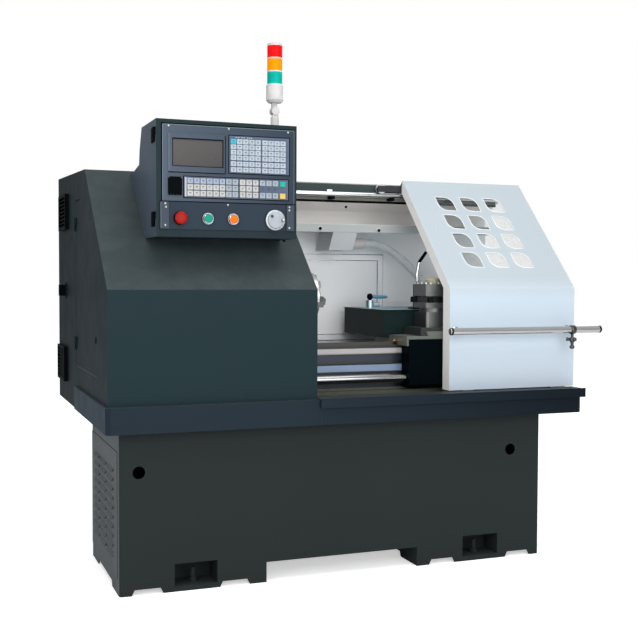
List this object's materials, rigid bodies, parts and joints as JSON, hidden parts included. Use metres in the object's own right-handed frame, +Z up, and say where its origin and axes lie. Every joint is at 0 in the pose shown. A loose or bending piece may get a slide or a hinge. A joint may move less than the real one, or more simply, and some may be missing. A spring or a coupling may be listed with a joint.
{
  "type": "cnc turning lathe",
  "caption": "Slant-guard CNC turning lathe on a cabinet stand, with chuck, carriage, four-way turret, tailstock, sliding windowed door and operator panel",
  "frame": {"origin": "Middle of the overall footprint, on the floor that the stand's feet rest on.", "axes": "+X from the headstock to the tailstock along the spindle, +Y from the operator to the back, +Z up."},
  "size_m": [1.7954, 1.217, 1.768],
  "materials": {
    "stand_paint": "satin grey-black paint",
    "tank_paint": "satin dark paint",
    "navy_paint": "satin blue-grey enamel",
    "bed_iron": "ground ways, painted flanks",
    "ground_steel": "ground steel",
    "motor_paint": "dark machine paint",
    "cast_pulley": "turned cast iron",
    "belt_rubber": "black rubber",
    "black_plastic": "black moulded plastic",
    "panel_paint": "fine texture grey-blue paint",
    "screen": "dark display glass",
    "key_plastic": "pale membrane keys",
    "red_plastic": "gloss red",
    "green_plastic": "gloss green",
    "orange_plastic": "gloss orange",
    "silver_metal": "turned aluminium",
    "white_plastic": "white plastic",
    "lamp_plastic": "translucent coloured lenses",
    "white_paint": "pale grey enamel",
    "chrome": "polished",
    "conduit_steel": "ribbed conduit",
    "pale_sheet": "pale sheet",
    "brass": "brass fittings",
    "blue_plastic": "blue dipped handle",
    "smoked_glass": "tinted polycarbonate"
  },
  "bodies": {
    "base": {"stand": "stand_paint", "stand_vent_panel": "stand_paint", "coolant_tank": "tank_paint", "chip_tray": "navy_paint", "door_track": "navy_paint", "bed": "bed_iron", "headstock": "bed_iron", "spindle_bearings": "ground_steel", "spindle_motor": "motor_paint", "drive_belt": "belt_rubber", "headstock_cover": "navy_paint", "electrical_cabinet": "navy_paint", "vent_grilles": "black_plastic", "control_box": "panel_paint", "lamp_foot": "white_plastic", "back_wall": "white_paint", "roof_beam": "navy_paint", "door_rail": "chrome", "conduit": "conduit_steel", "z_drive": "motor_paint"},
    "spindle": {"spindle": "ground_steel", "chuck_body": "ground_steel"},
    "jaw_a": {"jaw_1": "ground_steel"},
    "jaw_b": {"jaw_2": "ground_steel"},
    "jaw_c": {"jaw_3": "ground_steel"},
    "motor_rotor": {"motor_pulley": "cast_pulley"},
    "belt_cover": {"belt_door": "navy_paint"},
    "rear_door": {"cabinet_door": "navy_paint"},
    "power_knob": {"main_switch": "black_plastic"},
    "panel": {"panel_door": "panel_paint", "screen_glass": "screen", "key_panels": "key_plastic", "switch_plate": "panel_paint"},
    "port_flap": {"port_cover": "black_plastic"},
    "stop_head": {"stop_button": "red_plastic"},
    "start_head": {"start_button": "green_plastic"},
    "hold_head": {"hold_button": "orange_plastic"},
    "dial": {"pulse_dial": "silver_metal"},
    "lamp": {"lamp_body": "white_plastic", "lamp_lenses": "lamp_plastic"},
    "feed_screw": {"z_screw": "ground_steel"},
    "carriage": {"saddle": "bed_iron", "apron": "navy_paint"},
    "cross": {"cross_slide": "ground_steel", "slide_cover": "pale_sheet", "turret_base": "ground_steel", "coolant_fittings": "brass"},
    "cross_screw": {"x_screw": "ground_steel"},
    "turret": {"turret_head": "ground_steel", "cutting_tools": "ground_steel"},
    "valve_handle": {"valve_lever": "blue_plastic"},
    "tailstock": {"tailstock_body": "bed_iron"},
    "quill_wheel": {"tailstock_wheel": "chrome"},
    "quill_body": {"quill": "ground_steel"},
    "lock_lever": {"quill_lever": "chrome"},
    "door": {"sliding_door": "white_paint", "window_panes": "smoked_glass", "handle_bar": "chrome"},
    "wheel_left": {"roller_left": "ground_steel"},
    "wheel_right": {"roller_right": "ground_steel"}
  },
  "joints": [
    {"name": "spindle_spin", "type": "hinge", "parent": "base", "child": "spindle", "pos_m": [-0.33135, -0.3065, 0.93], "axis": [1, 0, 0], "continuous": true},
    {"name": "jaw_1_slide", "type": "slide", "parent": "spindle", "child": "jaw_a", "axis": [0, -0.9397, -0.342], "range_m": [-0.006, 0.006]},
    {"name": "jaw_2_slide", "type": "slide", "parent": "spindle", "child": "jaw_b", "axis": [0, 0.766, -0.6428], "range_m": [-0.006, 0.006]},
    {"name": "jaw_3_slide", "type": "slide", "parent": "spindle", "child": "jaw_c", "axis": [0, 0.1736, 0.9848], "range_m": [-0.006, 0.006]},
    {"name": "motor_spin", "type": "hinge", "parent": "base", "child": "motor_rotor", "pos_m": [-0.73135, -0.2665, 0.271], "axis": [1, 0, 0], "continuous": true},
    {"name": "belt_door_hinge", "type": "hinge", "parent": "base", "child": "belt_cover", "pos_m": [-0.87465, 0.1025, 0.9], "axis": [0, 0, -1], "range_deg": [0, 110]},
    {"name": "cabinet_door_hinge", "type": "hinge", "parent": "base", "child": "rear_door", "pos_m": [-0.20005, 0.6038, 0.95], "axis": [0, 0, -1], "range_deg": [0, 110]},
    {"name": "main_switch_turn", "type": "hinge", "parent": "base", "child": "power_knob", "pos_m": [-0.88135, 0.3935, 0.944], "axis": [1, 0, 0], "range_deg": [0, 90]},
    {"name": "panel_door_hinge", "type": "hinge", "parent": "base", "child": "panel", "pos_m": [-0.72265, -0.541, 1.3], "axis": [0, 0, -1], "range_deg": [0, 105]},
    {"name": "port_cover_hinge", "type": "hinge", "parent": "panel", "child": "port_flap", "pos_m": [-0.66035, -0.5613, 1.3058], "axis": [-1, 0, 0], "range_deg": [0, 100]},
    {"name": "stop_push", "type": "slide", "parent": "panel", "child": "stop_head", "axis": [0, 1, 0], "range_m": [0, 0.004]},
    {"name": "start_push", "type": "slide", "parent": "panel", "child": "start_head", "axis": [0, 1, 0], "range_m": [0, 0.004], "stiffness_N_per_m": 400},
    {"name": "hold_push", "type": "slide", "parent": "panel", "child": "hold_head", "axis": [0, 1, 0], "range_m": [0, 0.004], "stiffness_N_per_m": 400},
    {"name": "pulse_dial_turn", "type": "hinge", "parent": "panel", "child": "dial", "pos_m": [-0.33535, -0.5665, 1.18], "axis": [0, 1, 0], "continuous": true},
    {"name": "lamp_fold", "type": "hinge", "parent": "base", "child": "lamp", "pos_m": [-0.29835, -0.4465, 1.546], "axis": [0, 1, 0], "range_deg": [0, 90]},
    {"name": "feed_screw_turn", "type": "hinge", "parent": "base", "child": "feed_screw", "pos_m": [0.26865, -0.4455, 0.649], "axis": [1, 0, 0], "range_deg": [-6840, 0]},
    {"name": "carriage_slide", "type": "slide", "parent": "base", "child": "carriage", "axis": [1, 0, 0], "range_m": [-0.19, 0]},
    {"name": "cross_slide_move", "type": "slide", "parent": "carriage", "child": "cross", "axis": [0, 1, 0], "range_m": [-0.005, 0.045]},
    {"name": "cross_screw_turn", "type": "hinge", "parent": "carriage", "child": "cross_screw", "pos_m": [0.32365, -0.2965, 0.785], "axis": [0, 1, 0], "range_deg": [-360, 3240]},
    {"name": "turret_index", "type": "hinge", "parent": "cross", "child": "turret", "pos_m": [0.32365, -0.3845, 0.92], "axis": [0, 0, 1], "continuous": true},
    {"name": "coolant_valve_turn", "type": "hinge", "parent": "cross", "child": "valve_handle", "pos_m": [0.18965, -0.1265, 0.92], "axis": [0, 0, 1], "range_deg": [0, 90]},
    {"name": "tailstock_slide", "type": "slide", "parent": "base", "child": "tailstock", "axis": [1, 0, 0], "range_m": [-0.1, 0]},
    {"name": "tailstock_wheel_turn", "type": "hinge", "parent": "tailstock", "child": "quill_wheel", "pos_m": [0.80065, -0.3065, 0.93], "axis": [1, 0, 0], "range_deg": [-7200, 0]},
    {"name": "quill_extend", "type": "slide", "parent": "tailstock", "child": "quill_body", "axis": [1, 0, 0], "range_m": [-0.08, 0]},
    {"name": "quill_lock", "type": "hinge", "parent": "tailstock", "child": "lock_lever", "pos_m": [0.65765, -0.3065, 0.985], "axis": [0, 0, 1], "range_deg": [0, 60]},
    {"name": "door_slide", "type": "slide", "parent": "base", "child": "door", "axis": [1, 0, 0], "range_m": [-0.5, 0]},
    {"name": "roller_left_turn", "type": "hinge", "parent": "door", "child": "wheel_left", "pos_m": [0.23665, -0.1165, 1.334], "axis": [0, 1, 0], "range_deg": [-1911, 0]},
    {"name": "roller_right_turn", "type": "hinge", "parent": "door", "child": "wheel_right", "pos_m": [0.72765, -0.1165, 1.334], "axis": [0, 1, 0], "range_deg": [-1911, 0]}
  ],
  "couplings": [
    {"joint": "jaw_2_slide", "follows": "jaw_1_slide", "ratio": 1},
    {"joint": "jaw_3_slide", "follows": "jaw_1_slide", "ratio": 1},
    {"joint": "motor_spin", "follows": "spindle_spin", "ratio": 1.6},
    {"joint": "feed_screw_turn", "follows": "carriage_slide", "rad_per_m": 628.32},
    {"joint": "cross_screw_turn", "follows": "cross_slide_move", "rad_per_m": 1256.6},
    {"joint": "quill_extend", "follows": "tailstock_wheel_turn", "m_per_rad": 0.00063662},
    {"joint": "roller_left_turn", "follows": "door_slide", "rad_per_m": 66.667},
    {"joint": "roller_right_turn", "follows": "door_slide", "rad_per_m": 66.667}
  ]
}
